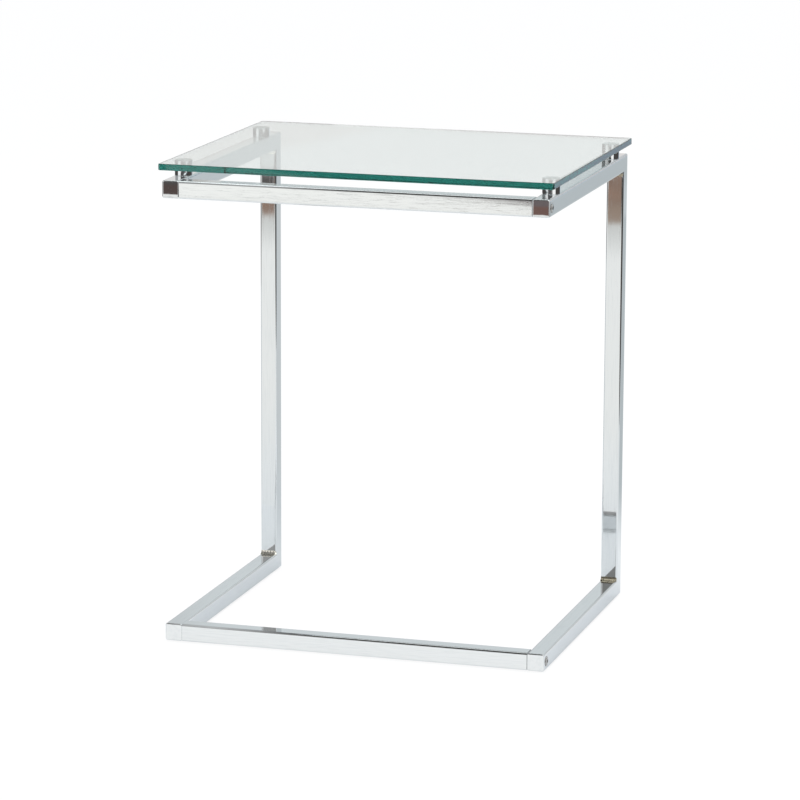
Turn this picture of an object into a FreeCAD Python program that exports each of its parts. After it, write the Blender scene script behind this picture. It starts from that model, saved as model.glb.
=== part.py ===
import FreeCAD, Part

import math
import os

import Sketcher

# A glass-topped side table on a chromed frame of square tube. Two C-shaped
# side frames stand on the floor, two front crossbars tie them together, and
# the glass lies on four round standoffs. Lengths are in millimetres. The
# front faces -Y, X runs to the right and Z up. The origin is on the floor,
# under the middle of the glass.

document = FreeCAD.newDocument("side_table")
sheet = document.addObject("Spreadsheet::Sheet", "sizes")

DRIVING_SIZES = (
    ("frame_width", "490", "outside width over both side frames"),
    ("frame_depth", "398", "front face of the rails to the back of the uprights"),
    ("frame_height", "582", "underside of the base rails to the top of the top rails"),
    ("tube_side", "22", "outside of the square tube"),
    ("tube_wall", "1.2", "wall of the square tube"),
    ("tube_inner_radius", "1.3", "inside corner radius of the tube"),
    ("end_plate_thickness", "2", "plate that closes the front end of a rail"),
    ("end_plate_edge", "0.6", "rounding of the plate's front edge"),
    ("glass_thickness", "8", "tempered glass sheet"),
    ("glass_corner_radius", "3", "corner of the sheet in plan"),
    ("glass_arris", "0.8", "bevel along the polished edges"),
    ("side_overhang", "5", "glass past the side frames"),
    ("front_overhang", "1", "glass past the front of the rails"),
    ("rear_overhang", "1", "glass past the back of the uprights"),
    ("standoff_diameter", "22", "round standoff, as wide as the rail"),
    ("standoff_height", "12", "standoff without its film of adhesive"),
    ("standoff_edge", "0.4", "chamfer of the standoff's rims"),
    ("standoff_bore_depth", "10", "threaded hole in the standoff"),
    ("standoff_inset", "50", "standoff's axis from the front or back edge of the glass"),
    ("film_thickness", "0.3", "adhesive between standoff and glass"),
    ("film_margin", "0.4", "rim of the standoff that the adhesive leaves free"),
    ("thread_diameter", "6", "bolts and screws"),
    ("thread_clearance", "0.1", "free space around a thread in its hole"),
    ("bolt_hole_clearance", "0.3", "free space around a bolt in the tube's walls"),
    ("bolt_tip", "0.8", "chamfer of a bolt's tip"),
    ("bolt_engagement", "10", "length of a crossbar bolt inside its plug"),
    ("screw_engagement", "9", "length of a standoff screw inside the standoff"),
    ("head_diameter", "9", "raised middle of a bolt's head"),
    ("head_height", "1.3", "whole low head"),
    ("head_crown", "0.5", "rounding of the raised middle"),
    ("flange_diameter", "12.6", "flange under the head"),
    ("flange_thickness", "0.6", "flange under the head"),
    ("socket_width", "4", "hexagon across its flats"),
    ("socket_depth", "1.5", "hexagon in the head"),
    ("plug_length", "12", "threaded plug in a crossbar's end"),
    ("plug_clearance", "0.1", "free space between plug and tube"),
    ("glide_diameter", "16", "plastic glide under a base rail"),
    ("glide_height", "2", "head of the glide"),
    ("glide_edge", "0.6", "rounding of the glide's rim"),
    ("glide_inset", "30", "glide's axis from the front or the back of the frame"),
    ("stem_diameter", "6", "stem of the glide"),
    ("stem_length", "9", "stem of the glide above its head"),
    ("stem_clearance", "0.1", "free space around the stem in the tube's wall"),
    ("barb_diameter", "7", "ridge that holds the stem"),
    ("barb_length", "1.5", "ridge that holds the stem"),
    ("cut_overrun", "1", "length by which a cut runs past the metal"),
)

# Share of a hexagon's width that its corners lie from its axis.
HEXAGON_CORNER_SHARE = 1 / math.sqrt(3)

# Below this, in millimetres, an edge counts as flat and at its height.
FLATNESS = 1e-6


class Size:
    """A length as a number and as the formula that gives it in the document."""

    def __init__(self, number, formula):
        self.number = number
        self.formula = formula

    def __add__(self, other):
        return Size(self.number + other.number, f"({self.formula} + {other.formula})")

    def __sub__(self, other):
        return Size(self.number - other.number, f"({self.formula} - {other.formula})")

    def __mul__(self, share):
        return Size(self.number * share, f"({self.formula} * {share!r})")

    def __truediv__(self, share):
        return Size(self.number / share, f"({self.formula} / {share!r})")

    def __neg__(self):
        return Size(-self.number, f"(-{self.formula})")


def fill_sheet():
    sizes = {}
    for row, (alias, number, note) in enumerate(DRIVING_SIZES, start=1):
        sheet.set(f"A{row}", alias)
        sheet.set(f"B{row}", number)
        sheet.set(f"C{row}", note)
        sheet.setAlias(f"B{row}", alias)
        sizes[alias] = Size(float(number), f"sizes.{alias}")
    document.recompute()
    return sizes


size = fill_sheet()
ZERO = Size(0.0, "0")

# Sizes and places that follow from the driving ones.
tube = size["tube_side"]
tube_outer_radius = size["tube_inner_radius"] + size["tube_wall"]
tube_bore = tube - size["tube_wall"] * 2
glass_width = size["frame_width"] + size["side_overhang"] * 2
glass_depth = size["frame_depth"] + size["front_overhang"] + size["rear_overhang"]
crossbar_length = size["frame_width"] - tube * 2
rail_length = size["frame_depth"] - size["end_plate_thickness"]

front = size["front_overhang"] - glass_depth / 2
back = glass_depth / 2 - size["rear_overhang"]
frame_bottom = size["glide_height"]
frame_top = frame_bottom + size["frame_height"]
rail_axis_x = (size["frame_width"] - tube) / 2
crossbar_y = front + tube / 2
top_axis_z = frame_top - tube / 2
base_axis_z = frame_bottom + tube / 2
glass_bottom = frame_top + size["standoff_height"] + size["film_thickness"]

SIDES = (("left", -1), ("right", 1))
LEVELS = (("top", top_axis_z), ("bottom", base_axis_z))
STANDOFF_PLACES = (("front", size["standoff_inset"] - glass_depth / 2),
                   ("rear", glass_depth / 2 - size["standoff_inset"]))
GLIDE_PLACES = (("front", front + size["glide_inset"]), ("rear", back - size["glide_inset"]))

UNTURNED = FreeCAD.Rotation()
AXIS_Z_TO_BACK = FreeCAD.Rotation(FreeCAD.Vector(1, 0, 0), -90)
AXIS_Z_TO_BACK_Y_UP = FreeCAD.Rotation(FreeCAD.Vector(0, 1, 0), 180).multiply(AXIS_Z_TO_BACK)
AXIS_Z_TO_FRONT = FreeCAD.Rotation(FreeCAD.Vector(1, 0, 0), 90)
AXIS_Z_TO_RIGHT = FreeCAD.Rotation(FreeCAD.Vector(0, 1, 0), 90)
AXIS_Z_TO_LEFT = FreeCAD.Rotation(FreeCAD.Vector(0, 1, 0), -90)
UPSIDE_DOWN = FreeCAD.Rotation(FreeCAD.Vector(1, 0, 0), 180)

bodies = []


# Bodies, sketches and features

def new_body(label):
    body = document.addObject("PartDesign::Body", label)
    body.Label = label
    bodies.append(body)
    return body


def place(body, x, y, z, rotation=UNTURNED):
    body.Placement = FreeCAD.Placement(FreeCAD.Vector(x.number, y.number, z.number), rotation)
    for axis, value in (("x", x), ("y", y), ("z", z)):
        body.setExpression(f"Placement.Base.{axis}", value.formula)


def new_sketch(body, name, plane_role, offset=ZERO):
    sketch = body.newObject("Sketcher::SketchObject", name)
    for plane in body.Origin.OriginFeatures:
        if plane.Role == plane_role:
            sketch.AttachmentSupport = [(plane, "")]
    sketch.MapMode = "FlatFace"
    if offset is not ZERO:
        sketch.setExpression("AttachmentOffset.Base.z", offset.formula)
    return sketch


def hold(sketch, kind, references, length):
    """Adds one dimension to a sketch and ties it to its formula."""
    index = sketch.addConstraint(Sketcher.Constraint(kind, *references, length.number))
    sketch.setExpression(f"Constraints[{index}]", length.formula)


def hold_point(sketch, geometry, point, x, y):
    """Fixes a point by its distances from the sketch's origin."""
    for kind, distance, axis in (("DistanceX", x, -2), ("DistanceY", y, -1)):
        if distance is ZERO:
            sketch.addConstraint(Sketcher.Constraint("PointOnObject", geometry, point, axis))
        else:
            hold(sketch, kind, (-1, 1, geometry, point), distance)


def add_outline(sketch, points):
    """A closed outline of straight lines through points given as pairs of sizes."""
    corners = [FreeCAD.Vector(x.number, y.number, 0) for x, y in points]
    count = len(corners)
    for index, corner in enumerate(corners):
        sketch.addGeometry(Part.LineSegment(corner, corners[(index + 1) % count]), False)
    for index in range(count):
        sketch.addConstraint(Sketcher.Constraint("Coincident", index, 2, (index + 1) % count, 1))
    for index, (x, y) in enumerate(points):
        hold_point(sketch, index, 1, x, y)


def add_circle(sketch, x, y, diameter):
    circle = Part.Circle(FreeCAD.Vector(x.number, y.number, 0), FreeCAD.Vector(0, 0, 1),
                         diameter.number / 2)
    geometry = sketch.addGeometry(circle, False)
    hold(sketch, "Diameter", (geometry,), diameter)
    hold_point(sketch, geometry, 3, x, y)


def add_rounded_rectangle(sketch, width, height, radius):
    """A rectangle about the sketch's origin, with its four corners rounded alike."""
    first = sketch.GeometryCount
    outer_x, outer_y = width.number / 2, height.number / 2
    inner_x, inner_y = outer_x - radius.number, outer_y - radius.number
    sides = (((-inner_x, -outer_y), (inner_x, -outer_y), (inner_x, -inner_y)),
             ((outer_x, -inner_y), (outer_x, inner_y), (inner_x, inner_y)),
             ((inner_x, outer_y), (-inner_x, outer_y), (-inner_x, inner_y)),
             ((-outer_x, inner_y), (-outer_x, -inner_y), (-inner_x, -inner_y)))
    for turn, (start, end, centre) in enumerate(sides):
        line = Part.LineSegment(FreeCAD.Vector(*start, 0), FreeCAD.Vector(*end, 0))
        circle = Part.Circle(FreeCAD.Vector(*centre, 0), FreeCAD.Vector(0, 0, 1), radius.number)
        first_angle = (turn - 1) * math.pi / 2
        sketch.addGeometry(line, False)
        sketch.addGeometry(Part.ArcOfCircle(circle, first_angle, first_angle + math.pi / 2), False)
    for step in range(8):
        sketch.addConstraint(
            Sketcher.Constraint("Tangent", first + step, 2, first + (step + 1) % 8, 1))
    for step, direction in ((0, "Horizontal"), (2, "Vertical"), (4, "Horizontal"), (6, "Vertical")):
        sketch.addConstraint(Sketcher.Constraint(direction, first + step))
    for step in (3, 5, 7):
        sketch.addConstraint(Sketcher.Constraint("Equal", first + 1, first + step))
    sketch.addConstraint(Sketcher.Constraint("Symmetric", first, 1, first + 4, 1, -1, 1))
    hold(sketch, "Radius", (first + 1,), radius)
    hold(sketch, "DistanceX", (first + 6, 1, first + 2, 1), width)
    hold(sketch, "DistanceY", (first, 1, first + 4, 1), height)


def pad(body, sketch, length):
    feature = body.newObject("PartDesign::Pad", sketch.Name + "_pad")
    feature.Profile = sketch
    feature.setExpression("Length", length.formula)
    return feature


def pocket(body, sketch, length, both_ways=False):
    feature = body.newObject("PartDesign::Pocket", sketch.Name + "_cut")
    feature.Profile = sketch
    feature.SideType = "Symmetric" if both_ways else "One side"
    feature.setExpression("Length", length.formula)
    return feature


def revolve(body, sketch):
    feature = body.newObject("PartDesign::Revolution", sketch.Name + "_turned")
    feature.Profile = sketch
    feature.ReferenceAxis = (sketch, ["V_Axis"])
    feature.Angle = 360
    return feature


def rim_edges(feature, height):
    """The names of the edges of a feature that lie whole at one height of its body."""
    document.recompute()
    names = []
    for index, edge in enumerate(feature.Shape.Edges, start=1):
        box = edge.BoundBox
        if abs(box.ZMin - height.number) < FLATNESS and box.ZLength < FLATNESS:
            names.append(f"Edge{index}")
    return names


def dress(body, kind, feature, edges, reach):
    """Rounds or bevels edges of a feature, by a Fillet's radius or a Chamfer's size."""
    dressing = body.newObject(f"PartDesign::{kind}", f"{feature.Name}_{kind.lower()}")
    dressing.Base = (feature, edges)
    dressing.setExpression("Radius" if kind == "Fillet" else "Size", reach.formula)


# Square tube, lying along Z of its own body

def square_tube(label, length):
    body = new_body(label)
    sketch = new_sketch(body, label + "_section", "XY_Plane")
    add_rounded_rectangle(sketch, tube, tube, tube_outer_radius)
    add_rounded_rectangle(sketch, tube_bore, tube_bore, size["tube_inner_radius"])
    pad(body, sketch, length)
    return body


def mitre(body, end, inward):
    """Cuts one end at 45 degrees, so that the tube is longest on its +Y side."""
    reach = size["cut_overrun"] * inward
    near_y = -tube / 2 - size["cut_overrun"]
    far_y = tube / 2 + size["cut_overrun"]
    sketch = new_sketch(body, f"{body.Label}_mitre_{'low' if inward > 0 else 'high'}", "YZ_Plane")
    add_outline(sketch, ((near_y, end + tube * inward + reach), (near_y, end - reach),
                         (far_y, end - reach)))
    pocket(body, sketch, tube + size["cut_overrun"] * 2, both_ways=True)


def cross_hole(body, distance):
    """A bolt hole through both side walls, square to the side frame."""
    sketch = new_sketch(body, body.Label + "_bolt_hole", "YZ_Plane")
    add_circle(sketch, ZERO, distance, size["thread_diameter"] + size["bolt_hole_clearance"] * 2)
    pocket(body, sketch, tube + size["cut_overrun"] * 2, both_ways=True)


def upright_holes(body, distances, diameter, both_walls):
    """Holes square to the top and bottom walls of a rail, through one or both of them."""
    sketch = new_sketch(body, body.Label + "_holes", "XZ_Plane")
    for distance in distances:
        add_circle(sketch, ZERO, distance, diameter)
    if both_walls:
        pocket(body, sketch, tube + size["cut_overrun"] * 2, both_ways=True)
    else:
        pocket(body, sketch, tube / 2 + size["cut_overrun"])


# Side frames: top rail, upright and base rail, mitred and welded at the back

def rail_distance(y):
    """Distance of a place along a rail from the tube's front end."""
    return y - front - size["end_plate_thickness"]


def top_rail(side, sign):
    body = square_tube(f"{side}_top_rail", rail_length)
    mitre(body, rail_length, -1)
    cross_hole(body, rail_distance(crossbar_y))
    upright_holes(body, [rail_distance(y) for _, y in STANDOFF_PLACES],
                  size["thread_diameter"] + size["bolt_hole_clearance"] * 2, both_walls=True)
    place(body, rail_axis_x * sign, front + size["end_plate_thickness"], top_axis_z,
          AXIS_Z_TO_BACK_Y_UP)


def base_rail(side, sign):
    body = square_tube(f"{side}_base_rail", rail_length)
    mitre(body, rail_length, -1)
    cross_hole(body, rail_distance(crossbar_y))
    upright_holes(body, [rail_distance(y) for _, y in GLIDE_PLACES],
                  size["stem_diameter"] + size["stem_clearance"] * 2, both_walls=False)
    place(body, rail_axis_x * sign, front + size["end_plate_thickness"], base_axis_z,
          AXIS_Z_TO_BACK)


def upright(side, sign):
    body = square_tube(f"{side}_upright", size["frame_height"])
    mitre(body, ZERO, 1)
    mitre(body, size["frame_height"], -1)
    place(body, rail_axis_x * sign, back - tube / 2, frame_bottom)


def end_plate(side, sign, level, axis_z):
    """The plate that is welded over a rail's front end and ground flush."""
    label = f"{side}_{level}_end_plate"
    body = new_body(label)
    sketch = new_sketch(body, label + "_outline", "XY_Plane")
    add_rounded_rectangle(sketch, tube, tube, tube_outer_radius)
    plate = pad(body, sketch, size["end_plate_thickness"])
    edges = rim_edges(plate, size["end_plate_thickness"])
    dress(body, "Fillet", plate, edges, size["end_plate_edge"])
    place(body, rail_axis_x * sign, front + size["end_plate_thickness"], axis_z, AXIS_Z_TO_FRONT)


# Crossbars, their threaded plugs and the bolts that hold them

def crossbar(level, axis_z):
    body = square_tube(f"{level}_crossbar", crossbar_length)
    place(body, -crossbar_length / 2, crossbar_y, axis_z, AXIS_Z_TO_RIGHT)


def crossbar_plug(side, sign, level, axis_z):
    """A threaded steel plug, pressed into a crossbar's end and tacked there."""
    label = f"{side}_{level}_crossbar_plug"
    body = new_body(label)
    sketch = new_sketch(body, label + "_section", "XY_Plane")
    plug_side = tube_bore - size["plug_clearance"] * 2
    add_rounded_rectangle(sketch, plug_side, plug_side, size["tube_inner_radius"])
    add_circle(sketch, ZERO, ZERO, size["thread_diameter"] + size["thread_clearance"] * 2)
    pad(body, sketch, size["plug_length"])
    inward = AXIS_Z_TO_RIGHT if sign < 0 else AXIS_Z_TO_LEFT
    place(body, crossbar_length * (sign / 2), crossbar_y, axis_z, inward)


def bolt(label, length):
    """A flanged bolt with a low head: the head above Z = 0 of its body, the shank below."""
    body = new_body(label)
    sketch = new_sketch(body, label + "_profile", "XZ_Plane")
    shank = size["thread_diameter"] / 2
    flange = size["flange_diameter"] / 2
    middle = size["head_diameter"] / 2
    add_outline(sketch, ((ZERO, -length),
                         (shank - size["bolt_tip"], -length),
                         (shank, size["bolt_tip"] - length),
                         (shank, ZERO),
                         (flange, ZERO),
                         (flange, size["flange_thickness"]),
                         (middle, size["flange_thickness"]),
                         (middle, size["head_height"]),
                         (ZERO, size["head_height"])))
    turned = revolve(body, sketch)
    dress(body, "Fillet", turned, rim_edges(turned, size["head_height"]), size["head_crown"])
    socket = new_sketch(body, label + "_socket", "XY_Plane", size["head_height"])
    corner = size["socket_width"] * HEXAGON_CORNER_SHARE
    flat = size["socket_width"] / 2
    add_outline(socket, ((corner, ZERO), (corner / 2, flat), (-corner / 2, flat),
                         (-corner, ZERO), (-corner / 2, -flat), (corner / 2, -flat)))
    pocket(body, socket, size["socket_depth"])
    return body


def crossbar_bolt(side, sign, level, axis_z):
    body = bolt(f"{side}_{level}_crossbar_bolt", tube + size["bolt_engagement"])
    outward = AXIS_Z_TO_LEFT if sign < 0 else AXIS_Z_TO_RIGHT
    place(body, size["frame_width"] * (sign / 2), crossbar_y, axis_z, outward)


# Glass top, its standoffs and the screws that hold them

def standoff(place_name, side, sign, y):
    """A round chromed spacer, flat on the top rail, threaded from below."""
    label = f"{place_name}_{side}_standoff"
    body = new_body(label)
    sketch = new_sketch(body, label + "_profile", "XZ_Plane")
    radius = size["standoff_diameter"] / 2
    bore = size["thread_diameter"] / 2 + size["thread_clearance"]
    height = size["standoff_height"]
    edge = size["standoff_edge"]
    add_outline(sketch, ((bore, ZERO), (radius - edge, ZERO), (radius, edge),
                         (radius, height - edge), (radius - edge, height), (ZERO, height),
                         (ZERO, size["standoff_bore_depth"]), (bore, size["standoff_bore_depth"])))
    revolve(body, sketch)
    place(body, rail_axis_x * sign, y, frame_top)


def adhesive_film(place_name, side, sign, y):
    """The clear cured film that bonds the standoff to the glass."""
    label = f"{place_name}_{side}_adhesive_film"
    body = new_body(label)
    sketch = new_sketch(body, label + "_outline", "XY_Plane")
    add_circle(sketch, ZERO, ZERO, size["standoff_diameter"] - size["film_margin"] * 2)
    pad(body, sketch, size["film_thickness"])
    place(body, rail_axis_x * sign, y, frame_top + size["standoff_height"])


def standoff_screw(place_name, side, sign, y):
    """Goes up through the top rail from below and pulls the standoff down on it."""
    body = bolt(f"{place_name}_{side}_standoff_screw", tube + size["screw_engagement"])
    place(body, rail_axis_x * sign, y, frame_top - tube, UPSIDE_DOWN)


def glass_top():
    body = new_body("glass_top")
    sketch = new_sketch(body, "glass_top_outline", "XY_Plane")
    add_rounded_rectangle(sketch, glass_width, glass_depth, size["glass_corner_radius"])
    sheet_of_glass = pad(body, sketch, size["glass_thickness"])
    edges = rim_edges(sheet_of_glass, ZERO) + rim_edges(sheet_of_glass, size["glass_thickness"])
    dress(body, "Chamfer", sheet_of_glass, edges, size["glass_arris"])
    place(body, ZERO, ZERO, glass_bottom)


# Glides under the base rails

def glide(place_name, side, sign, y):
    """A plastic glide with a barbed stem, pushed into the base rail's lower wall."""
    label = f"{place_name}_{side}_glide"
    body = new_body(label)
    sketch = new_sketch(body, label + "_profile", "XZ_Plane")
    rim = size["glide_diameter"] / 2
    stem = size["stem_diameter"] / 2
    barb = size["barb_diameter"] / 2
    barb_foot = size["glide_height"] + size["tube_wall"] + size["stem_clearance"]
    add_outline(sketch, ((ZERO, ZERO),
                         (rim - size["glide_edge"], ZERO),
                         (rim, size["glide_edge"]),
                         (rim, size["glide_height"]),
                         (stem, size["glide_height"]),
                         (stem, barb_foot),
                         (barb, barb_foot),
                         (stem, barb_foot + size["barb_length"]),
                         (stem, size["glide_height"] + size["stem_length"]),
                         (ZERO, size["glide_height"] + size["stem_length"])))
    revolve(body, sketch)
    place(body, rail_axis_x * sign, y, ZERO)


# The whole table

def build_table():
    for side, sign in SIDES:
        top_rail(side, sign)
        upright(side, sign)
        base_rail(side, sign)
        for level, axis_z in LEVELS:
            end_plate(side, sign, level, axis_z)
            crossbar_plug(side, sign, level, axis_z)
            crossbar_bolt(side, sign, level, axis_z)
        for place_name, y in STANDOFF_PLACES:
            standoff(place_name, side, sign, y)
            adhesive_film(place_name, side, sign, y)
            standoff_screw(place_name, side, sign, y)
        for place_name, y in GLIDE_PLACES:
            glide(place_name, side, sign, y)
    for level, axis_z in LEVELS:
        crossbar(level, axis_z)
    glass_top()
    document.recompute()


def check_document():
    """Stops the build if a feature failed or a piece isn't one valid solid."""
    for item in document.Objects:
        if "Invalid" in item.State or "Error" in item.State:
            raise RuntimeError(f"{item.Label} could not be computed")
    for body in bodies:
        shape = body.Shape
        if shape.isNull() or not shape.isValid() or len(shape.Solids) != 1:
            raise RuntimeError(f"{body.Label} is not one valid solid")


def write_parts():
    os.makedirs("parts", exist_ok=True)
    for body in bodies:
        body.Shape.exportStep(os.path.join("parts", body.Label + ".step"))
        box = body.Shape.BoundBox
        print(f"{body.Label}: {body.Shape.Volume:.1f} mm3, "
              f"x {box.XMin:.1f} to {box.XMax:.1f}, y {box.YMin:.1f} to {box.YMax:.1f}, "
              f"z {box.ZMin:.1f} to {box.ZMax:.1f}")


build_table()
check_document()
write_parts()
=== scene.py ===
import math

import bmesh
import bpy
from mathutils import Matrix, Vector


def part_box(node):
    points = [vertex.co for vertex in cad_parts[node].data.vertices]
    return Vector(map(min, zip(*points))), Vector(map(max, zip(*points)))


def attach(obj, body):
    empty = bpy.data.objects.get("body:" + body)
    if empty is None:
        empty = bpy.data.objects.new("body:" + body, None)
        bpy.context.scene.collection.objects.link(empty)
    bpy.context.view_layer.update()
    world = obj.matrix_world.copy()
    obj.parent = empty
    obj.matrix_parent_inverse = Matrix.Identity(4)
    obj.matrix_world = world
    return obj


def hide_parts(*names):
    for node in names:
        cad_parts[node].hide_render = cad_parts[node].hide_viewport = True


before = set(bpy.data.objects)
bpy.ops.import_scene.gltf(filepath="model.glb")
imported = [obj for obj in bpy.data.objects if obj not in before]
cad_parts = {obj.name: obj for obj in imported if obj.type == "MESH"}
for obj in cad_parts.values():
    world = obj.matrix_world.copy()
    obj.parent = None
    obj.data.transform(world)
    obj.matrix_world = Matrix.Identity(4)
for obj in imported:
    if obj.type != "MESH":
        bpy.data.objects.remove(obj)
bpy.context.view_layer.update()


# Glass top
# One sheet of clear tempered float glass, 8 mm thick. Its edges are ground flat and polished, with a
# narrow arris along the top and the bottom. Seen through its whole length the glass is sea green.

GLASS_CORNER = 0.003
GLASS_ARRIS = 0.0008
GLASS_IOR = 1.52
SHEET_HAZE = 0.012
EDGE_HAZE = 0.03
SAME_PLACE = 1e-7


def block(low, high):
    """A box between two corners, as a bmesh."""
    bm = bmesh.new()
    bmesh.ops.create_cube(bm, size=1.0)
    bmesh.ops.scale(bm, vec=high - low, verts=bm.verts)
    bmesh.ops.translate(bm, vec=(low + high) / 2, verts=bm.verts)
    return bm


def edges_along(bm, axis):
    """The edges that run parallel to one axis: 0, 1 or 2."""
    found = []
    for edge in bm.edges:
        run = edge.verts[0].co - edge.verts[1].co
        if abs(abs(run[axis]) - run.length) < SAME_PLACE:
            found.append(edge)
    return found


def rim_at(bm, axis, place):
    """The edges round a flat end: both ends of each lie at place on the axis."""
    return [edge for edge in bm.edges
            if all(abs(vert.co[axis] - place) < SAME_PLACE for vert in edge.verts)
            and any(abs(face.normal[axis]) < 0.5 for face in edge.link_faces)]


def round_over(bm, edges, reach, segments):
    """Rounds edges over by an arc that reaches so far into the faces beside them."""
    bmesh.ops.bevel(bm, geom=edges, offset=reach, offset_type="OFFSET", affect="EDGES",
                    segments=segments, profile=0.5, material=-1, clamp_overlap=True)
    bm.normal_update()


def finished_piece(name, bm, material, crease):
    """Turns a bmesh into a piece of the object: outward faces, smooth curves and crisp corners."""
    bmesh.ops.recalc_face_normals(bm, faces=bm.faces)
    mesh = bpy.data.meshes.new(name)
    bm.to_mesh(mesh)
    bm.free()
    mesh.shade_smooth()
    mesh.set_sharp_from_angle(angle=math.radians(crease))
    mesh.materials.append(material)
    piece = bpy.data.objects.new(name, mesh)
    bpy.context.scene.collection.objects.link(piece)
    weighted = piece.modifiers.new("flat faces stay flat", "WEIGHTED_NORMAL")
    weighted.keep_sharp = True
    weighted.weight = 100
    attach(piece, "root")
    return piece


def connect(tree, made, inputs):
    """Fills a node's inputs, each given by its name or its number, with a value or from a socket."""
    for name, value in inputs.items():
        if isinstance(value, bpy.types.NodeSocket):
            tree.links.new(value, made.inputs[name])
        else:
            made.inputs[name].default_value = value


def node(tree, kind, inputs=None, **settings):
    """Adds a shader node and fills its inputs."""
    made = tree.nodes.new("ShaderNode" + kind)
    for name, value in settings.items():
        setattr(made, name, value)
    connect(tree, made, inputs or {})
    return made


def between(tree, value, low, high, start=0.0, end=1.0):
    """A smooth step of value from low to high, as a value from start to end."""
    step = node(tree, "MapRange", {"Value": value, "From Min": low, "From Max": high,
                                   "To Min": start, "To Max": end},
                interpolation_type="SMOOTHSTEP")
    return step.outputs["Result"]


def combined(tree, operation, first, second):
    """Two values put through one operation of a Math node."""
    return node(tree, "Math", {0: first, 1: second}, operation=operation).outputs[0]


def mixed_colour(tree, share, first, second):
    """The first colour where the share is 0, and the second where it is 1."""
    mix = node(tree, "Mix", {0: share, 6: first, 7: second}, data_type="RGBA")
    return mix.outputs[2]


def effect_group(name, inputs, outputs):
    """An empty shader group. Returns it with the sockets that come in and those that go out."""
    group = bpy.data.node_groups.new(name, "ShaderNodeTree")
    for label, kind in inputs:
        group.interface.new_socket(label, in_out="INPUT", socket_type="NodeSocket" + kind)
    for label, kind in outputs:
        group.interface.new_socket(label, in_out="OUTPUT", socket_type="NodeSocket" + kind)
    return group, group.nodes.new("NodeGroupInput").outputs, group.nodes.new("NodeGroupOutput").inputs


def new_material(name):
    """An empty material with a Principled surface. Returns the material, its tree and the shader."""
    material = bpy.data.materials.new(name)
    material.use_nodes = True
    tree = material.node_tree
    tree.nodes.clear()
    shader = node(tree, "BsdfPrincipled")
    connect(tree, node(tree, "OutputMaterial"), {"Surface": shader.outputs["BSDF"]})
    return material, tree, shader


def stretched(tree, scale=(1, 1, 1)):
    """Object coordinates, stretched by a scale for each axis."""
    place = node(tree, "TexCoord").outputs["Object"]
    return node(tree, "Mapping", {"Vector": place, "Scale": scale}).outputs["Vector"]


# Faint haze and arcs that a wiping cloth leaves on glass.
wipe_haze, given, made = effect_group(
    "wipe haze", [("Coordinates", "Vector"), ("Arcs", "Float")], [("Mask", "Float")])
warp = node(wipe_haze, "TexNoise", {"Vector": given["Coordinates"], "Scale": 3.0, "Detail": 2.0})
arcs = node(wipe_haze, "TexWave", {"Vector": given["Coordinates"], "Scale": given["Arcs"],
                                   "Distortion": 9.0, "Detail": 3.0, "Detail Scale": 1.4},
            wave_type="RINGS", rings_direction="Z")
patches = between(wipe_haze, warp.outputs[0], 0.42, 0.72)
wipe_haze.links.new(combined(wipe_haze, "MULTIPLY", patches, arcs.outputs["Fac"]), made["Mask"])

# Lines that a grinding belt or a polishing wheel leaves. The coordinates are stretched along them.
wheel_lines, given, made = effect_group(
    "wheel lines", [("Coordinates", "Vector"), ("Lines per metre", "Float")],
    [("Mask", "Float"), ("Height", "Float")])
lines = node(wheel_lines, "TexNoise", {"Vector": given["Coordinates"],
                                       "Scale": given["Lines per metre"],
                                       "Detail": 3.0, "Roughness": 0.6})
wheel_lines.links.new(between(wheel_lines, lines.outputs[0], 0.35, 0.7), made["Mask"])
wheel_lines.links.new(lines.outputs[0], made["Height"])

clear_glass, tree, shader = new_material("clear tempered glass")
haze = node(tree, "Group", {"Coordinates": stretched(tree), "Arcs": 2.2}, node_tree=wipe_haze)
ground = node(tree, "Group", {"Coordinates": stretched(tree, (0.02, 0.02, 1)),
                              "Lines per metre": 2600.0}, node_tree=wheel_lines)
edge_band = node(tree, "Attribute", attribute_name="ground_edge").outputs["Fac"]
sheet_roughness = between(tree, haze.outputs["Mask"], 0.0, 1.0, 0.0, SHEET_HAZE)
edge_roughness = between(tree, ground.outputs["Mask"], 0.0, 1.0, 0.0, EDGE_HAZE)
roughness = node(tree, "Mix", {0: edge_band, 2: sheet_roughness, 3: edge_roughness})
connect(tree, shader, {"Base Color": (1.0, 1.0, 1.0, 1.0), "Roughness": roughness.outputs[0],
                       "Transmission Weight": 1.0, "IOR": GLASS_IOR})
# A tenth of the red light is gone after 11 mm of glass, and a twenty-fifth of the green.
green_body = node(tree, "VolumeAbsorption", {"Color": (0.0, 0.59, 0.54, 1.0), "Density": 9.3})
connect(tree, tree.nodes["Material Output"], {"Volume": green_body.outputs["Volume"]})

low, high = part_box("glass_top")
bm = block(low, high)
round_over(bm, edges_along(bm, 2), GLASS_CORNER, segments=8)
round_over(bm, rim_at(bm, 2, high.z) + rim_at(bm, 2, low.z), GLASS_ARRIS, segments=2)
band = bm.faces.layers.float.new("ground_edge")
for face in bm.faces:
    face[band] = 0.0 if abs(face.normal.z) > 0.9 else 1.0
glass_sheet = finished_piece("tempered_glass_sheet", bm, clear_glass, crease=20)
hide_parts("glass_top")


# Square tubes of the two side frames and the crossbars
# Welded steel tube, 22 mm square with 1.2 mm walls, mitred at the back corners, ground, polished and
# bright chromed. The plating is thin and keeps the tube's drawn waves and the wheel's lines.

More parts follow.
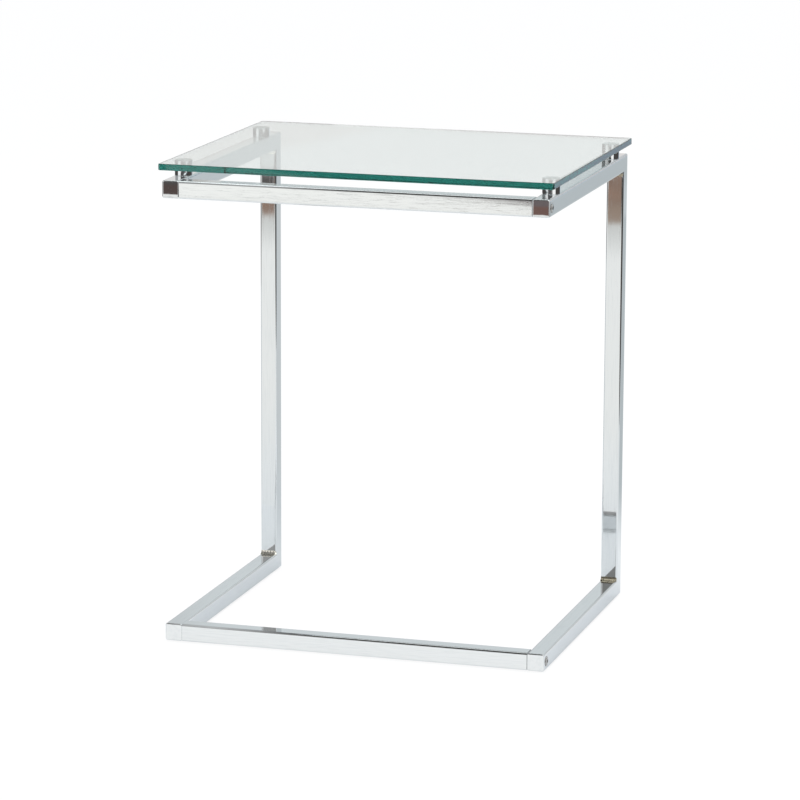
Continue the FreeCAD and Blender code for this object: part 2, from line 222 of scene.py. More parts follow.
CHROME = (0.74, 0.755, 0.765, 1.0)
CHROME_DULL = (0.685, 0.705, 0.72, 1.0)
DULL_SHARE = 0.7
LINE_SHARE = 0.01
TUBES = {
    "x": ("top_crossbar", "bottom_crossbar"),
    "y": ("left_top_rail", "right_top_rail", "left_base_rail", "right_base_rail"),
    "z": ("left_upright", "right_upright"),
}
ALONG = {"x": (0.05, 1, 1), "y": (1, 0.05, 1), "z": (1, 1, 0.05)}
WAVE_DEPTH = {"x": 0.000002, "y": 0.000014, "z": 0.000014}

# Waves of the rolled or pressed steel that show in the reflections, and patches in the plating.
plating_waves, given, made = effect_group(
    "plating waves", [("Coordinates", "Vector"), ("Waves per metre", "Float")],
    [("Patches", "Float"), ("Height", "Float")])
waves = node(plating_waves, "TexNoise", {"Vector": given["Coordinates"],
                                         "Scale": given["Waves per metre"],
                                         "Detail": 1.5, "Roughness": 0.45})
finer = combined(plating_waves, "MULTIPLY", given["Waves per metre"], 4.0)
patches = node(plating_waves, "TexNoise", {"Vector": given["Coordinates"], "Scale": finer,
                                           "Detail": 3.0, "Roughness": 0.55})
plating_waves.links.new(between(plating_waves, patches.outputs[0], 0.4, 0.75), made["Patches"])
plating_waves.links.new(waves.outputs[0], made["Height"])


def relief(tree, height, depth):
    """The normal of a surface that a varying height raises, by up to a depth in metres."""
    bump = node(tree, "Bump", {"Strength": 1.0, "Distance": depth, "Height": height})
    return bump.outputs["Normal"]


def chrome_plating(name, wave_scale, waves_per_metre, wave_depth, line_scale, lines_per_metre,
                   shine=(0.03, 0.075), colours=(CHROME, CHROME_DULL)):
    """Bright chrome over polished steel, with its waves and its lines stretched along the work."""
    material, tree, shader = new_material(name)
    wave = node(tree, "Group", {"Coordinates": stretched(tree, wave_scale),
                                "Waves per metre": waves_per_metre}, node_tree=plating_waves)
    line = node(tree, "Group", {"Coordinates": stretched(tree, line_scale),
                                "Lines per metre": lines_per_metre}, node_tree=wheel_lines)
    dull = combined(tree, "MULTIPLY", wave.outputs["Patches"], DULL_SHARE)
    rub = combined(tree, "MULTIPLY", wave.outputs["Patches"], line.outputs["Mask"])
    fine = combined(tree, "MULTIPLY", line.outputs["Height"], LINE_SHARE)
    height = combined(tree, "ADD", wave.outputs["Height"], fine)
    connect(tree, shader, {"Base Color": mixed_colour(tree, dull, *colours), "Metallic": 1.0,
                           "Roughness": between(tree, rub, 0.0, 0.8, *shine),
                           "Normal": relief(tree, height, wave_depth)})
    return material


for axis, tubes in TUBES.items():
    tube_chrome = chrome_plating(
        f"bright chrome along {axis}", wave_scale=ALONG[axis], waves_per_metre=190.0,
        wave_depth=WAVE_DEPTH[axis], line_scale=ALONG[axis], lines_per_metre=2400.0)
    for tube in tubes:
        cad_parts[tube].material_slots[0].material = tube_chrome


# Welds in the inside corners
# The side frames are welded all round at the back corners. Outside the weld is ground flush, and in
# the inside corner it is dressed to a hollow fillet a few millimetres wide before the plating.

WELD_LEG = 0.0045
WELD_SINK = 0.0008
WELD_HALF_LENGTH = 0.0105
WELD_STEPS = 16
WELD_UNEVEN = 0.02
WELD_END = 0.7
# The left side's welds look bright in the photo and the right side's brown. Both are painted
# reflections set into the welds' colours: bright on the left and brown on the right. The cause
# isn't known.
WELD_PAINTED_REFLECTIONS = {"left": ((0.98, 0.95, 0.86, 1), (0.85, 0.82, 0.74, 1)),
                "right": ((0.33, 0.29, 0.22, 1), (0.26, 0.23, 0.18, 1))}


def arc(centre, radius, start, end, count):
    """Points of an arc as pairs of numbers, from one angle in degrees to another."""
    points = []
    for step in range(count + 1):
        angle = math.radians(start + (end - start) * step / count)
        points.append((centre[0] + radius * math.cos(angle), centre[1] + radius * math.sin(angle)))
    return points


weld_outline = [(WELD_SINK, -WELD_SINK), (-WELD_LEG, -WELD_SINK)]
weld_outline += arc((-WELD_LEG, WELD_LEG), WELD_LEG, -90, 0, 10)
weld_outline += [(WELD_SINK, WELD_LEG)]
stride = 2 * WELD_HALF_LENGTH / WELD_STEPS
for side, colours in WELD_PAINTED_REFLECTIONS.items():
    # Each side's weld colours hold its painted reflection.
    weld_chrome = chrome_plating(
        f"duller chrome on a dressed {side} weld", wave_scale=(1, 1, 1), waves_per_metre=260.0,
        wave_depth=0.00002, line_scale=(0.05, 1, 1), lines_per_metre=1400.0, shine=(0.2, 0.35),
        colours=colours)
    upright_low, upright_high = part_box(side + "_upright")
    middle = (upright_low.x + upright_high.x) / 2
    for level, rail, upward in (("top", "_top_rail", -1), ("bottom", "_base_rail", 1)):
        rail_low, rail_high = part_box(side + rail)
        corner_z = rail_low.z if upward < 0 else rail_high.z
        bm = bmesh.new()
        section = bm.faces.new([bm.verts.new((0, y, z * upward)) for y, z in weld_outline])
        spread = 1.0
        for step in range(1, WELD_STEPS + 1):
            grown = bmesh.ops.extrude_face_region(bm, geom=[section])["geom"]
            section = next(part for part in grown if isinstance(part, bmesh.types.BMFace))
            wanted = 1.0 + WELD_UNEVEN * math.sin(2.1 * step + corner_z * 40)
            if step == WELD_STEPS:
                wanted = WELD_END
            bmesh.ops.scale(bm, vec=(1, wanted / spread, wanted / spread), verts=section.verts)
            bmesh.ops.translate(bm, vec=(stride, 0, 0), verts=section.verts)
            spread = wanted
        bmesh.ops.translate(bm, vec=(middle - WELD_HALF_LENGTH, upright_low.y, corner_z),
                            verts=bm.verts)
        weld = finished_piece(f"{side}_{level}_inside_weld", bm, weld_chrome, crease=50)


# End plates
# A 2 mm steel plate closes the front end of each rail. It is welded on, its rim is ground to the
# tube's corners by hand, which leaves its face half a degree out of square, and it is chromed.

PLATE_CORNER = 0.0025
PLATE_ROLL = 0.0016
PLATE_TILT = math.radians(0.5)

plate_chrome = chrome_plating(
    "bright chrome on a ground plate", wave_scale=(1, 1, 1), waves_per_metre=70.0,
    wave_depth=0.000002, line_scale=(1, 1, 0.04), lines_per_metre=1800.0, shine=(0.005, 0.018))
for side in ("left", "right"):
    for level in ("top", "bottom"):
        cad_name = f"{side}_{level}_end_plate"
        low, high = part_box(cad_name)
        bm = block(low, high)
        round_over(bm, edges_along(bm, 1), PLATE_CORNER, segments=8)
        round_over(bm, rim_at(bm, 1, low.y), PLATE_ROLL, segments=6)
        inner_x = high.x if side == "left" else low.x
        for vert in bm.verts:
            if vert.co.y < (low.y + high.y) / 2:
                vert.co.y += abs(vert.co.x - inner_x) * math.tan(PLATE_TILT)
        plate = finished_piece(f"{side}_{level}_rolled_plate", bm, plate_chrome, crease=40)
        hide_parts(cad_name)


# Standoffs, their films of adhesive and their screws
# Four turned steel spacers, 22 mm across and chromed, carry the glass 12 mm over the rails. A screw
# from under the rail holds each one, and a thin clear film bonds its top to the glass.

STANDOFF_RADIUS = 0.011
STANDOFF_EDGE = 0.0004
STANDOFF_BORE = 0.0031
STANDOFF_STEPS = 64
BORE_DEPTH = 0.010
FILM_CLEARANCE = 0.00002
FILM_IOR = 1.48
MERGE_REACH = 1e-6


def turned(profile, steps):
    """A shape of revolution about Z from (radius, height) points, as a bmesh."""
    bm = bmesh.new()
    verts = [bm.verts.new((radius, 0.0, height)) for radius, height in profile]
    edges = [bm.edges.new(pair) for pair in zip(verts, verts[1:])]
    bmesh.ops.spin(bm, geom=verts + edges, cent=(0, 0, 0), axis=(0, 0, 1), dvec=(0, 0, 0),
                   angle=math.tau, steps=steps, use_merge=True)
    bmesh.ops.remove_doubles(bm, verts=bm.verts, dist=MERGE_REACH)
    bmesh.ops.dissolve_degenerate(bm, edges=bm.edges, dist=SAME_PLACE)
    return bm


standoff_chrome = chrome_plating(
    "bright chrome on turned steel", wave_scale=(1, 1, 1), waves_per_metre=60.0,
    wave_depth=0.000008, line_scale=(0.03, 0.03, 1), lines_per_metre=5000.0)

adhesive, tree, shader = new_material("clear bonding film")
specks = node(tree, "TexVoronoi", {"Vector": stretched(tree), "Scale": 900.0})
trapped_air = between(tree, specks.outputs["Distance"], 0.05, 0.25, 1.0, 0.0)
film_tint = mixed_colour(tree, trapped_air, (0.96, 0.965, 0.955, 1), (0.9, 0.9, 0.89, 1))
connect(tree, shader, {"Base Color": film_tint, "Transmission Weight": 1.0, "IOR": FILM_IOR,
                       "Roughness": between(tree, trapped_air, 0.0, 1.0, 0.02, 0.25)})

SCREW_THREAD = 0.014
THREAD_PITCH = 0.001
THREAD_RADIUS = 0.003
THREAD_START = 0.0012
THREAD_SINK = 0.0002
THREAD_STEPS = 20
TOOTH_HALF = 0.0004
SHANK_RADIUS = 0.0026
POINT_RADIUS = 0.0019
POINT_HEIGHT = 0.0008
FLANGE_RADIUS = 0.0063
FLANGE_THICKNESS = 0.0006
FLANGE_EDGE = 0.0003
HEAD_RADIUS = 0.0045
HEAD_HEIGHT = 0.0013
HEAD_FILLET = 0.0002
HEAD_CROWN = 0.0005
SOCKET_MOUTH = 0.0026
SOCKET_WIDTH = 0.004
SOCKET_DEPTH = 0.0015
SOCKET_BEVEL = 0.0002
HEAD_STEPS = 48


def low_head_screw(length, threaded):
    """A flanged low-head screw along Z with its bearing face at 0 and its head above it."""
    profile = [(0.0, -length), (POINT_RADIUS, -length), (SHANK_RADIUS, POINT_HEIGHT - length),
               (SHANK_RADIUS, 0.0)]
    profile += arc((FLANGE_RADIUS - FLANGE_EDGE, FLANGE_EDGE), FLANGE_EDGE, -90, 75, 8)
    profile += arc((HEAD_RADIUS + HEAD_FILLET, FLANGE_THICKNESS + HEAD_FILLET), HEAD_FILLET,
                   270, 180, 4)
    profile += arc((HEAD_RADIUS - HEAD_CROWN, HEAD_HEIGHT - HEAD_CROWN), HEAD_CROWN, 0, 85, 8)[1:]
    profile += [(SOCKET_MOUTH, HEAD_HEIGHT)]
    bm = turned(profile, HEAD_STEPS)
    mouth = [edge for edge in bm.edges if edge.is_boundary]
    hexagon = bmesh.ops.create_circle(bm, cap_ends=False, segments=6,
                                      radius=SOCKET_WIDTH / math.sqrt(3))
    sides = list({edge for vert in hexagon["verts"] for edge in vert.link_edges})
    bmesh.ops.translate(bm, vec=(0, 0, HEAD_HEIGHT - SOCKET_BEVEL), verts=hexagon["verts"])
    bmesh.ops.subdivide_edges(bm, edges=sides, cuts=HEAD_STEPS // 6 - 1)
    rim = [edge for edge in bm.edges if edge.is_boundary or not edge.link_faces]
    wall = [edge for edge in rim if edge not in mouth]
    bmesh.ops.bridge_loops(bm, edges=rim)
    sunk = bmesh.ops.extrude_edge_only(bm, edges=wall)
    floor_verts = [part for part in sunk["geom"] if isinstance(part, bmesh.types.BMVert)]
    floor_edges = [part for part in sunk["geom"] if isinstance(part, bmesh.types.BMEdge)]
    bmesh.ops.translate(bm, vec=(0, 0, SOCKET_BEVEL - SOCKET_DEPTH), verts=floor_verts)
    bmesh.ops.contextual_create(bm, geom=[edge for edge in floor_edges if edge.is_boundary])
    root = SHANK_RADIUS - THREAD_SINK
    start = THREAD_START - length
    tooth = [bm.verts.new(place) for place in
             ((root, 0, start), (THREAD_RADIUS, 0, start + TOOTH_HALF),
              (root, 0, start + 2 * TOOTH_HALF))]
    face = bm.faces.new(tooth)
    turns = int(threaded / THREAD_PITCH)
    steps = turns * THREAD_STEPS
    bmesh.ops.spin(bm, geom=[face, *face.edges, *face.verts], cent=(0, 0, 0), axis=(0, 0, 1),
                   dvec=(0, 0, turns * THREAD_PITCH / steps), angle=math.tau * turns, steps=steps,
                   use_merge=False)
    return bm


plated_bolt, tree, shader = new_material("bright zinc on a pressed head")
grain = node(tree, "TexNoise", {"Vector": stretched(tree), "Scale": 900.0,
                                "Detail": 3.0, "Roughness": 0.6})
rub = between(tree, grain.outputs[0], 0.35, 0.7)
zinc = mixed_colour(tree, rub, (0.50, 0.49, 0.475, 1), (0.42, 0.41, 0.40, 1))
connect(tree, shader, {"Base Color": zinc, "Metallic": 1.0,
                       "Roughness": between(tree, rub, 0.0, 1.0, 0.08, 0.2),
                       "Normal": relief(tree, grain.outputs[0], 0.00001)})

for end in ("front", "rear"):
    for side in ("left", "right"):
        place = f"{end}_{side}"
        low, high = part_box(place + "_standoff")
        foot = Vector(((low.x + high.x) / 2, (low.y + high.y) / 2, low.z))
        height = high.z - low.z
        face_radius = STANDOFF_RADIUS - STANDOFF_EDGE
        profile = [(STANDOFF_BORE, 0.0)]
        profile += arc((face_radius, STANDOFF_EDGE), STANDOFF_EDGE, -90, 0, 4)
        profile += arc((face_radius, height - STANDOFF_EDGE), STANDOFF_EDGE, 0, 90, 4)
        profile += [(0.0, height), (0.0, BORE_DEPTH), (STANDOFF_BORE, BORE_DEPTH),
                    (STANDOFF_BORE, 0.0)]
        bm = turned(profile, STANDOFF_STEPS)
        bmesh.ops.translate(bm, vec=foot, verts=bm.verts)
        standoff = finished_piece(place + "_turned_standoff", bm, standoff_chrome, crease=30)
        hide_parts(place + "_standoff")

        low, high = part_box(place + "_adhesive_film")
        half = (high.z - low.z) / 2 - FILM_CLEARANCE
        brim = (high.x - low.x) / 2 - half
        profile = [(0.0, -half), (brim, -half)] + arc((brim, 0.0), half, -60, 60, 4)
        profile += [(brim, half), (0.0, half)]
        bm = turned(profile, STANDOFF_STEPS)
        bmesh.ops.translate(bm, vec=(foot.x, foot.y, (low.z + high.z) / 2), verts=bm.verts)
        film = finished_piece(place + "_bonding_film", bm, adhesive, crease=60)
        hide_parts(place + "_adhesive_film")

        low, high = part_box(place + "_standoff_screw")
        bearing = low.z + HEAD_HEIGHT
        bm = low_head_screw(high.z - bearing, SCREW_THREAD)
        bmesh.ops.rotate(bm, cent=(0, 0, 0), matrix=Matrix.Rotation(math.pi, 3, "X"), verts=bm.verts)
        bmesh.ops.translate(bm, vec=(foot.x, foot.y, bearing), verts=bm.verts)
        screw = finished_piece(place + "_low_head_screw", bm, plated_bolt, crease=35)
        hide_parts(place + "_standoff_screw")


# Crossbar bolts and their plugs
# Flanged low-head bolts, turned with a 4 mm key, go through the rails into steel plugs that are
# pressed into the crossbars' ends. Only the heads show, on the outside of the rails.

BOLT_THREAD = 0.016

plain_steel, tree, shader = new_material("plain turned steel")
tool_marks = node(tree, "Group", {"Coordinates": stretched(tree, (1, 0.04, 0.04)),
                                  "Lines per metre": 3500.0}, node_tree=wheel_lines).outputs
bare_steel = mixed_colour(tree, tool_marks["Mask"], (0.44, 0.43, 0.42, 1), (0.33, 0.325, 0.32, 1))
connect(tree, shader, {"Base Color": bare_steel, "Metallic": 1.0,
                       "Roughness": between(tree, tool_marks["Mask"], 0.0, 1.0, 0.28, 0.5),
                       "Normal": relief(tree, tool_marks["Height"], 0.00001)})

for side, sign in (("left", -1), ("right", 1)):
    for level in ("top", "bottom"):
        cad_name = f"{side}_{level}_crossbar_bolt"
        low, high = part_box(cad_name)
        outer = low.x if sign < 0 else high.x
        bearing = outer - sign * HEAD_HEIGHT
        bm = low_head_screw((high.x - low.x) - HEAD_HEIGHT, BOLT_THREAD)
        bmesh.ops.rotate(bm, cent=(0, 0, 0), matrix=Matrix.Rotation(sign * math.pi / 2, 3, "Y"),
                         verts=bm.verts)
        bmesh.ops.translate(bm, vec=(bearing, (low.y + high.y) / 2, (low.z + high.z) / 2),
                            verts=bm.verts)
        bolt = finished_piece(f"{side}_{level}_low_head_bolt", bm, plated_bolt, crease=35)
        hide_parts(cad_name)
        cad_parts[f"{side}_{level}_crossbar_plug"].material_slots[0].material = plain_steel


# Glides
# Milky polyethylene buttons, pushed into holes under the base rails. They lift the chrome 2 mm off
# the floor. A barbed stem holds each one in the tube's wall.

GLIDE_FACE = 0.0068
GLIDE_EDGE = 0.0012
# The rest of the outline goes up from the head's rim, over the shoulder and along the barbs.
GLIDE_STEM = [(0.008, 0.0018), (0.0077, 0.002), (0.003, 0.002), (0.003, 0.0036),
              (0.0035, 0.0038), (0.0029, 0.0053), (0.0029, 0.0062), (0.0034, 0.0064),
              (0.0028, 0.0079), (0.0028, 0.0102), (0.0022, 0.011), (0.0, 0.011)]

glide_plastic, tree, shader = new_material("milky polyethylene")
cloud = node(tree, "TexNoise", {"Vector": stretched(tree), "Scale": 260.0, "Detail": 4.0}).outputs[0]
milky = mixed_colour(tree, between(tree, cloud, 0.35, 0.7), (0.80, 0.81, 0.80, 1),
                     (0.70, 0.71, 0.705, 1))
connect(tree, shader, {"Base Color": milky, "Roughness": between(tree, cloud, 0.3, 0.7, 0.38, 0.55),
                       "Normal": relief(tree, cloud, 0.00003)})

for end in ("front", "rear"):
    for side in ("left", "right"):
        cad_name = f"{end}_{side}_glide"
        low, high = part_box(cad_name)
        profile = [(0.0, 0.0), (GLIDE_FACE, 0.0)]
        profile += arc((GLIDE_FACE, GLIDE_EDGE), GLIDE_EDGE, -90, 0, 6)[1:] + GLIDE_STEM
        bm = turned(profile, 40)
        bmesh.ops.translate(bm, vec=((low.x + high.x) / 2, (low.y + high.y) / 2, low.z),
                            verts=bm.verts)
        glide = finished_piece(f"{end}_{side}_push_in_glide", bm, glide_plastic, crease=35)
        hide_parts(cad_name)


# Studio floor
# A wide sheet of white paper on a brown floor. The camera and the glass see plain white with a soft
# shadow. Bright metal mirrors the sheet, its front and right edges and a white card in front of it.

FLOOR_REACH = 14.0
FLOOR_DROP = 0.0003
SEEN_WHITE = 0.90
SEEN_SHADE = (0.13, 0.132, 0.135, 1)


def studio_piece(name, bm, material):
    """Turns a bmesh into a piece of the studio, which isn't part of the table."""
    mesh = bpy.data.meshes.new(name)
    bm.to_mesh(mesh)
    bm.free()
    mesh.materials.append(material)
    piece = bpy.data.objects.new(name, mesh)
    bpy.context.scene.collection.objects.link(piece)
    return piece


def both(tree, *shares):
    """The product of two or more shares: where all of them hold."""
    product = shares[0]
    for share in shares[1:]:
        product = combined(tree, "MULTIPLY", product, share)
    return product


def inside(tree, value, rise_from, rise_to, fall_from, fall_to):
    """A share that rises to 1 as value passes one limit and falls back to 0 as it passes another."""
    return both(tree, between(tree, value, rise_from, rise_to),
                between(tree, value, fall_from, fall_to, 1.0, 0.0))


def slanted(tree, value, other, slope):
    """A value less a slope times another: the same all along a line that runs at a slant."""
    return combined(tree, "SUBTRACT", value, combined(tree, "MULTIPLY", other, slope))


def ray_kinds(tree):
    """Light Path's outputs, and the share of the rays that come straight from a mirroring face."""
    rays = node(tree, "LightPath").outputs
    # A ray that only went through the glass counts as glossy too, but its glossy depth is nought.
    mirrored_once = combined(tree, "MINIMUM", rays["Glossy Depth"], 1.0)
    return rays, both(tree, rays["Is Glossy Ray"], mirrored_once)


floor_material, tree, shader = new_material("white paper on a brown floor")
tree.nodes.remove(shader)
on_floor = node(tree, "TexCoord").outputs["Object"]
place = node(tree, "SeparateXYZ", {"Vector": on_floor})
floor_x, floor_y = place.outputs["X"], place.outputs["Y"]

# The front of the sheet is bright, and brightest just before the lower crossbar.
front_paper = mixed_colour(tree, between(tree, floor_y, -1.1, -0.1),
                           (1.05, 1.06, 1.04, 1), (0.95, 0.98, 0.985, 1))
from_middle = combined(tree, "ABSOLUTE", floor_x, 0.0)
before_bar = both(tree, inside(tree, floor_y, -0.31, -0.29, -0.205, -0.195),
                  between(tree, from_middle, 0.27, 0.30, 1.0, 0.0))
front_paper = mixed_colour(tree, before_bar, front_paper, (1.10, 1.11, 1.10, 1))

# The rear of it lies in shade, deeper to the right, with a paler blue patch far back.
to_the_right = slanted(tree, floor_x, floor_y, 0.25)
rear_paper = mixed_colour(tree, between(tree, to_the_right, -0.05, 0.15),
                          (0.68, 0.72, 0.735, 1), (0.55, 0.60, 0.62, 1))
behind_left_rail = both(tree, between(tree, floor_y, 3.15, 3.25),
                        between(tree, floor_x, 1.04, 1.09, 1.0, 0.0))
rear_paper = mixed_colour(tree, behind_left_rail, rear_paper, (0.63, 0.68, 0.705, 1))
far_right = both(tree, between(tree, floor_y, 3.2, 3.4), between(tree, floor_x, 1.165, 1.185))
rear_paper = mixed_colour(tree, far_right, rear_paper, (0.70, 0.84, 0.98, 1))
to_the_rear = slanted(tree, floor_y, combined(tree, "ADD", to_the_right, 0.25), 0.6)
paper = mixed_colour(tree, between(tree, to_the_rear, 0.1, 0.6), front_paper, rear_paper)

# The base rails' own shadows lie beside them.
along_rails = inside(tree, floor_y, -0.205, -0.195, 0.2, 0.3)
for middle in (-0.208, 0.260):
    aside = combined(tree, "ABSOLUTE", combined(tree, "SUBTRACT", floor_x, middle), 0.0)
    rail_shadow = both(tree, between(tree, aside, 0.015, 0.035, 1.0, 0.0), along_rails)
    paper = mixed_colour(tree, rail_shadow, paper, (0.87, 0.90, 0.92, 1))

# The sheet ends at the front, the left and the right. Its front edge curls up a little, into shade.
beyond_front = combined(tree, "ADD", slanted(tree, floor_y, floor_x, -0.1648), 2.8206)
behind = combined(tree, "MAXIMUM", combined(tree, "ADD", floor_y, 0.5), 0.0)
further_back = combined(tree, "MAXIMUM", combined(tree, "SUBTRACT", floor_y, 0.3), 0.0)
paper = mixed_colour(tree, between(tree, beyond_front, 0.05, 0.5), (0.80, 0.81, 0.79, 1), paper)
on_paper = both(tree, between(tree, beyond_front, -0.035, 0.035),
                between(tree, slanted(tree, floor_x, behind, 0.27), -2.65, -2.55),
                between(tree, slanted(tree, floor_x, further_back, 0.2), 1.25, 1.35, 1.0, 0.0))

# A white card lies further in front. Its left and right sides close in towards the table.
from_card = combined(tree, "ADD", floor_y, 3.544)
left_of_card = between(tree, slanted(tree, floor_x, from_card, 0.357), -1.464, -1.456, 1.0, 0.0)
right_of_card = between(tree, slanted(tree, floor_x, from_card, 0.262), -0.625, -0.615)
beside_card = combined(tree, "MAXIMUM", left_of_card, right_of_card)
on_card = both(tree, combined(tree, "SUBTRACT", 1.0, beside_card),
               between(tree, floor_y, -3.47, -3.45, 1.0, 0.0),
               between(tree, slanted(tree, floor_y, floor_x, 0.41), -3.42, -3.36))

# The bare floor is brown before the sheet, and darker or redder beside the card.
boards = node(tree, "TexNoise", {"Vector": on_floor, "Scale": 5.0, "Detail": 3.0})
near_brown = mixed_colour(tree, between(tree, boards.outputs[0], 0.35, 0.65),
                          (0.38, 0.255, 0.195, 1), (0.27, 0.19, 0.15, 1))
pale_boards = both(tree, between(tree, floor_y, -3.1, -2.9), between(tree, floor_x, -0.9, -0.6))
near_brown = mixed_colour(tree, pale_boards, near_brown, (0.38, 0.29, 0.23, 1))
to_right_plate = between(tree, floor_x, -1.3, -0.8)
far_dark = mixed_colour(tree, to_right_plate, (0.10, 0.092, 0.09, 1), (0.185, 0.155, 0.155, 1))
far_red = mixed_colour(tree, to_right_plate, (0.112, 0.084, 0.078, 1), (0.21, 0.128, 0.110, 1))
red_share = both(tree, beside_card, inside(tree, floor_y, -3.70, -3.65, -3.50, -3.45))
far_ground = mixed_colour(tree, red_share, far_dark, far_red)
brown_reach = between(tree, floor_x, -1.25, -0.7, -2.93, -3.48)
near_share = between(tree, combined(tree, "SUBTRACT", floor_y, brown_reach), -0.05, 0.05)
brown = mixed_colour(tree, near_share, far_ground, near_brown)
in_middle = inside(tree, floor_x, -1.68, -1.58, -0.3, 0.1)
ground = mixed_colour(tree, in_middle, (0.08, 0.075, 0.072, 1), brown)

mirrored = mixed_colour(tree, on_paper, ground, paper)
mirrored = mixed_colour(tree, on_card, mirrored, (1.16, 1.16, 1.12, 1))
# A scrap of paper lies at the card's left.
on_scrap = both(tree, inside(tree, floor_y, -3.46, -3.42, -3.20, -3.15),
                inside(tree, floor_x, -1.56, -1.52, -1.32, -1.28))
mirrored = mixed_colour(tree, on_scrap, mirrored, (0.94, 0.95, 0.94, 1))
# White shows in the lowest few millimetres of the upper plates.
past_plates = combined(tree, "ADD", floor_y, between(tree, floor_x, -1.3, -0.8, 0.0, 0.018))
under_plates = both(tree, beside_card, between(tree, past_plates, -3.552, -3.538),
                    between(tree, floor_y, -3.50, -3.45, 1.0, 0.0))
mirrored = mixed_colour(tree, under_plates, mirrored, (1.05, 1.05, 1.03, 1))

white = node(tree, "Emission", {"Color": (1, 1, 1, 1), "Strength": SEEN_WHITE})
shade = node(tree, "BsdfDiffuse", {"Color": SEEN_SHADE})
seen = node(tree, "AddShader", {0: white.outputs[0], 1: shade.outputs[0]})
# Only near the table does the mirrored paper show the table's shadow.
away = node(tree, "VectorMath", {0: on_floor}, operation="LENGTH").outputs["Value"]
lit_share = both(tree, between(tree, away, 0.5, 0.9, 1.0, 0.0),
                 between(tree, floor_y, -0.2, -0.17, 0.3, 1.0))
own_share = combined(tree, "SUBTRACT", 1.0, lit_share)
mirror_glow = node(tree, "Emission", {"Color": mirrored, "Strength": own_share})
lit_paper = mixed_colour(tree, lit_share, (0, 0, 0, 1), mirrored)
mirror_shade = node(tree, "BsdfDiffuse", {"Color": lit_paper})
mirror_side = node(tree, "AddShader", {0: mirror_glow.outputs[0], 1: mirror_shade.outputs[0]})
rays, reflected = ray_kinds(tree)
either = node(tree, "MixShader", {0: reflected, 1: seen.outputs[0], 2: mirror_side.outputs[0]})
connect(tree, tree.nodes["Material Output"], {"Surface": either.outputs[0]})
floor_material.cycles.emission_sampling = "NONE"

bm = bmesh.new()
bmesh.ops.create_grid(bm, x_segments=1, y_segments=1, size=FLOOR_REACH)
bmesh.ops.translate(bm, vec=(0, 0, -FLOOR_DROP), verts=bm.verts)
studio_piece("studio_floor", bm, floor_material)


# Studio light
# A large soft lamp overhead, an even pale surround and two upright softboxes in front, which only
# bright metal mirrors. A dark strip of ceiling draws the thin dark lines along its edges.

SOFTBOX_TOP = 2.0

lamp = bpy.data.lights.new("overhead_softbox", "AREA")
lamp.shape = "SQUARE"
lamp.size = 3.0
lamp.energy = 38.0
softbox = bpy.data.objects.new("overhead_softbox", lamp)
softbox.location = (0.3, -0.2, 2.7)
softbox.visible_camera = False
softbox.visible_glossy = False
bpy.context.scene.collection.objects.link(softbox)

box_cloth, tree, shader = new_material("softbox cloth")
tree.nodes.remove(shader)
cloth = node(tree, "Emission", {"Color": (1.0, 1.0, 0.99, 1), "Strength": 1.2})
connect(tree, tree.nodes["Material Output"], {"Surface": cloth.outputs[0]})
box_cloth.cycles.emission_sampling = "NONE"
for name, azimuth, distance, width, bottom in (("right_softbox", 51.0, 1.25, 0.68, 0.375),
                                               ("left_softbox", -43.0, 3.1, 2.0, 0.0)):
    bm = bmesh.new()
    bmesh.ops.create_grid(bm, x_segments=1, y_segments=1, size=0.5)
    bmesh.ops.scale(bm, vec=(width, SOFTBOX_TOP - bottom, 1), verts=bm.verts)
    bmesh.ops.rotate(bm, cent=(0, 0, 0), matrix=Matrix.Rotation(math.pi / 2, 3, "X"), verts=bm.verts)
    bmesh.ops.translate(bm, vec=(0, -distance, (SOFTBOX_TOP + bottom) / 2), verts=bm.verts)
    bmesh.ops.rotate(bm, cent=(0, 0, 0), matrix=Matrix.Rotation(math.radians(azimuth), 3, "Z"),
                     verts=bm.verts)
    box_front = studio_piece(name, bm, box_cloth)
    for kind in ("camera", "diffuse", "transmission", "shadow"):
        setattr(box_front, "visible_" + kind, False)

world = bpy.data.worlds.new("pale studio")
bpy.context.scene.world = world
world.use_nodes = True
tree = world.node_tree
tree.nodes.clear()
direction = node(tree, "SeparateXYZ", {"Vector": node(tree, "TexCoord").outputs["Generated"]})
sideways, rise = direction.outputs["X"], direction.outputs["Z"]
ahead = combined(tree, "MULTIPLY", direction.outputs["Y"], -1.0)
# The angle of a direction over the table, from the front horizon through the zenith to the back.
over = combined(tree, "ARCTAN2", rise, ahead)


def past_angle(low, high, start=0.0, end=1.0):
    """A smooth step of that angle from low to high, in degrees."""
    return between(tree, over, math.radians(low), math.radians(high), start, end)


low_wall = mixed_colour(tree, past_angle(9.3, 10.8), (0.12, 0.12, 0.12, 1), (0.47, 0.47, 0.46, 1))
low_dark = both(tree, between(tree, sideways, -0.29, -0.25), past_angle(13.4, 15.5))
low_wall = mixed_colour(tree, low_dark, low_wall, (0.25, 0.25, 0.24, 1))
above_wall = past_angle(17, 21)
front_sky = mixed_colour(tree, above_wall, low_wall, (0.85, 0.86, 0.86, 1))
back_wall = mixed_colour(tree, between(tree, rise, 0.165, 0.185), (0.83, 0.81, 0.80, 1),
                         (0.42, 0.44, 0.48, 1))
back_wall = mixed_colour(tree, between(tree, rise, 0.232, 0.245), back_wall, (0.725, 0.775, 0.79, 1))
studio = mixed_colour(tree, past_angle(102, 114), front_sky, back_wall)
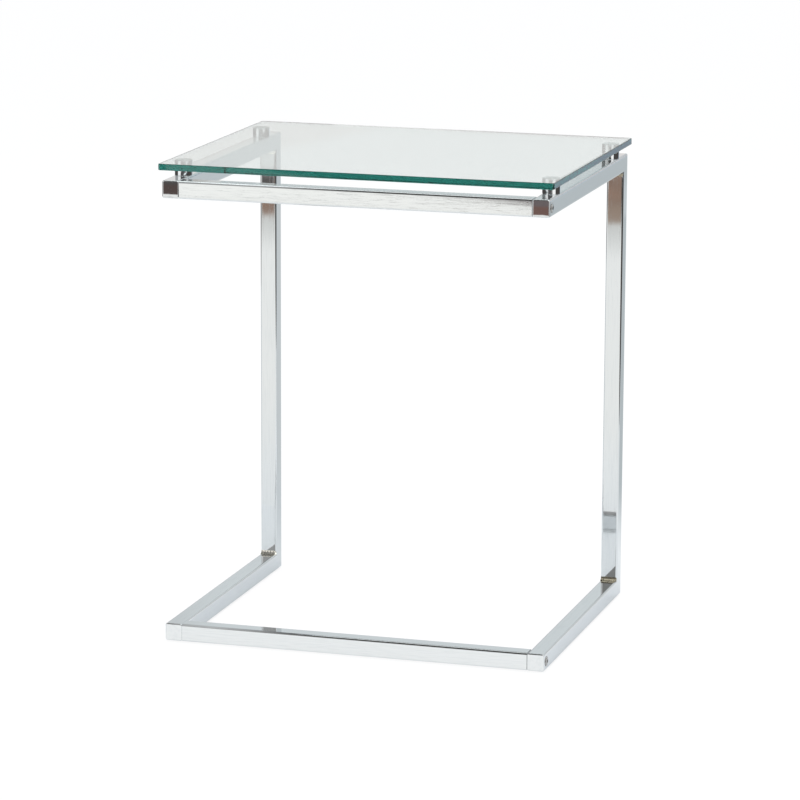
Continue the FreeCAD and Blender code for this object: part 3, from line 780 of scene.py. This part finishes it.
# The ceiling is half shaded left of the dark strip, and dark again in a band further to the left.
overhead = both(tree, above_wall, past_angle(160, 166, 1.0, 0.0))
half_shade = both(tree, overhead, between(tree, sideways, -0.332, -0.315, 1.0, 0.0))
studio = mixed_colour(tree, half_shade, studio, (0.48, 0.49, 0.49, 1))
far_shade = both(tree, overhead, inside(tree, sideways, -0.42, -0.38, -0.345, -0.336))
studio = mixed_colour(tree, far_shade, studio, (0.06, 0.058, 0.055, 1))
strip = both(tree, inside(tree, sideways, -0.333, -0.29, -0.19, -0.13), above_wall,
             past_angle(148, 158, 1.0, 0.0))
studio = mixed_colour(tree, strip, studio, (0.05, 0.048, 0.045, 1))
rays, reflected = ray_kinds(tree)
light = mixed_colour(tree, reflected, (0.72, 0.73, 0.75, 1), studio)
through = both(tree, rays["Is Transmission Ray"], combined(tree, "SUBTRACT", 1.0, reflected))
direct = combined(tree, "MAXIMUM", rays["Is Camera Ray"], through)
light = mixed_colour(tree, direct, light, (1.0, 1.0, 1.0, 1))
background = node(tree, "Background", {"Color": light, "Strength": 1.0})
connect(tree, node(tree, "OutputWorld"), {"Surface": background.outputs[0]})


# Camera
# A long lens from the front and a little to the right, about 1.3 m up, looking slightly down.

CAMERA_PLACE = (1.4168, -4.7533, 1.3338)
YAW = math.radians(16.587)
PITCH = math.radians(11.938)
ROLL = math.radians(0.270)
FOCAL_PIXELS = 3998.0
PICTURE_PIXELS = 800
SENSOR_WIDTH = 36.0
LIGHT_BOUNCES = 32

camera_data = bpy.data.cameras.new("camera")
camera_data.sensor_width = SENSOR_WIDTH
camera_data.lens = SENSOR_WIDTH * FOCAL_PIXELS / PICTURE_PIXELS
camera = bpy.data.objects.new("camera", camera_data)
turn = (Matrix.Rotation(YAW, 4, "Z") @ Matrix.Rotation(math.pi / 2 - PITCH, 4, "X")
        @ Matrix.Rotation(ROLL, 4, "Z"))
camera.matrix_world = Matrix.Translation(CAMERA_PLACE) @ turn
bpy.context.scene.collection.objects.link(camera)
bpy.context.scene.camera = camera
bpy.context.scene.view_settings.view_transform = "Standard"

# Light crosses the glass from edge to edge in about ten internal reflections.
for limit in ("max_bounces", "glossy_bounces", "transmission_bounces"):
    setattr(bpy.context.scene.cycles, limit, LIGHT_BOUNCES)

bpy.context.view_layer.update()
